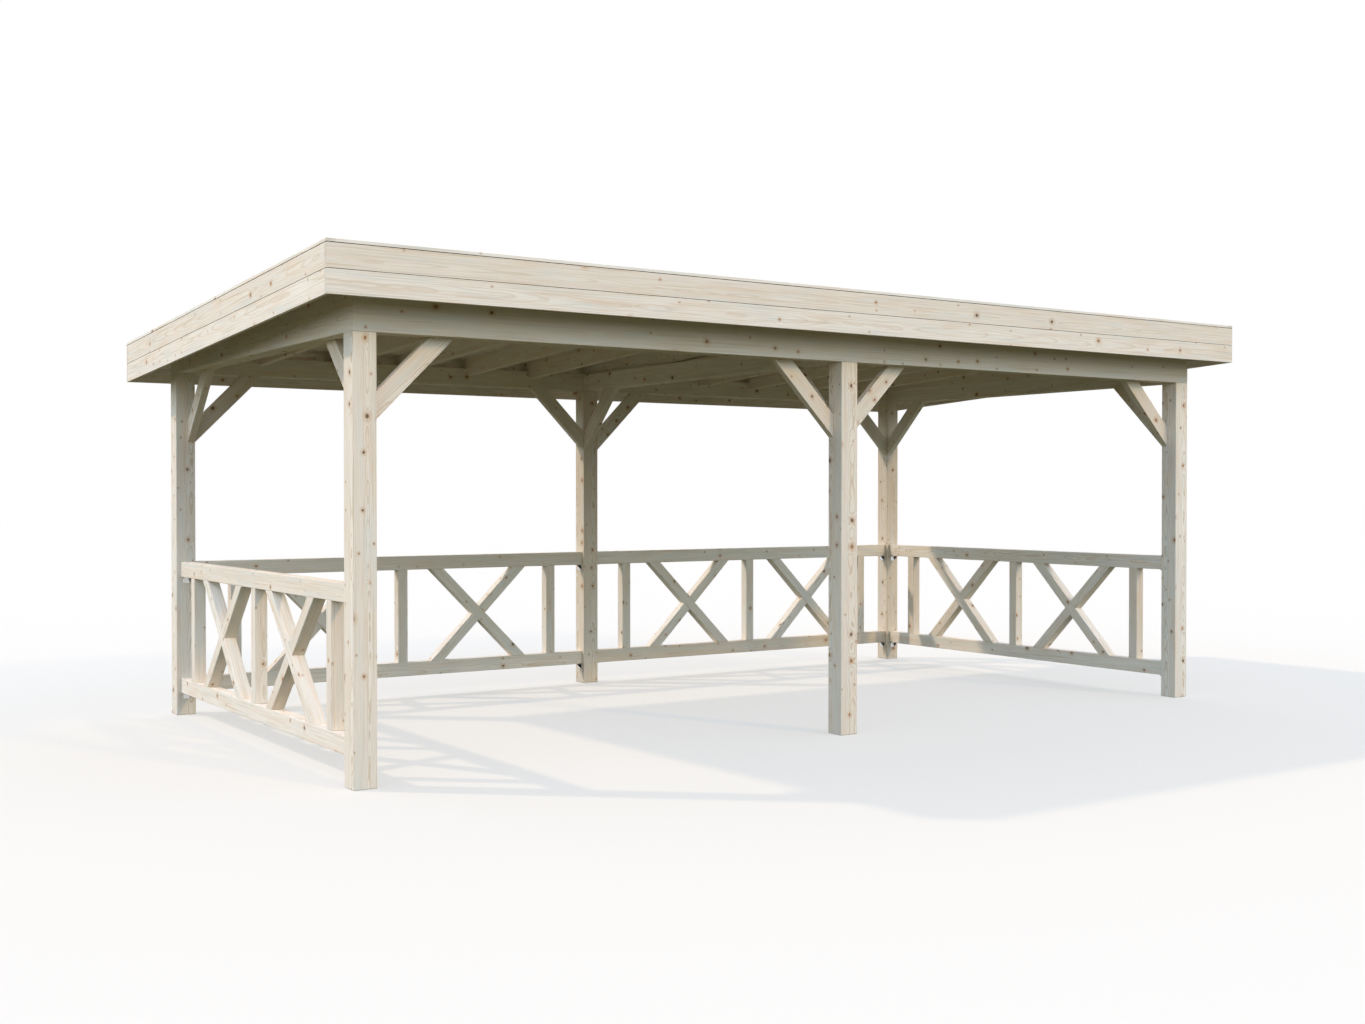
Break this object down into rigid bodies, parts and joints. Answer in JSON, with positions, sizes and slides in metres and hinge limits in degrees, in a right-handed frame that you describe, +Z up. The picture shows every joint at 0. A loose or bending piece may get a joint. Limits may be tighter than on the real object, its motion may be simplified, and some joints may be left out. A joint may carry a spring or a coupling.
{
  "type": "gazebo",
  "caption": "Open rectangular timber garden gazebo with a single-pitch roof, knee-braced posts and cross-braced railings on three sides.",
  "frame": {"origin": "on the floor, under the middle of the roof", "axes": "+X along the open front to its right end, +Y from the open front to the railed back, +Z up"},
  "size_m": [6.496, 3.566, 2.5642],
  "materials": {
    "posts": "planed, untreated",
    "beams": "planed, untreated",
    "braces": "planed, untreated",
    "rafters": "planed, untreated",
    "deck": "planed, untreated",
    "felt": "dark grey roofing felt",
    "fascia": "planed, untreated",
    "rails": "planed, untreated",
    "infill": "planed, untreated"
  },
  "bodies": {
    "root": {"post_front_left": "posts", "post_front_middle": "posts", "post_front_right": "posts", "post_back_left": "posts", "post_back_middle": "posts", "post_back_right": "posts", "beam_front": "beams", "beam_back": "beams", "beam_left": "beams", "beam_right": "beams", "beam_middle": "beams", "braces_front_left": "braces", "braces_front_middle": "braces", "braces_front_right": "braces", "braces_back_left": "braces", "braces_back_middle": "braces", "braces_back_right": "braces", "rafters_left": "rafters", "rafters_right": "rafters", "rafter_middle": "rafters", "gable_left": "rafters", "gable_right": "rafters", "roof_deck": "deck", "roof_felt": "felt", "fascia_front": "fascia", "fascia_left": "fascia", "fascia_right": "fascia", "fascia_back": "fascia", "trim_front": "fascia", "trim_back": "fascia", "trim_left": "fascia", "trim_right": "fascia", "rails_left": "rails", "balusters_left": "infill", "cross_fore_left": "infill", "cross_rear_left": "infill", "rails_right": "rails", "balusters_right": "infill", "cross_fore_right": "infill", "cross_rear_right": "infill", "rails_back_left": "rails", "balusters_back_left": "infill", "cross_fore_back_left": "infill", "cross_rear_back_left": "infill", "rails_back_right": "rails", "balusters_back_right": "infill", "cross_fore_back_right": "infill", "cross_rear_back_right": "infill"}
  },
  "joints": []
}
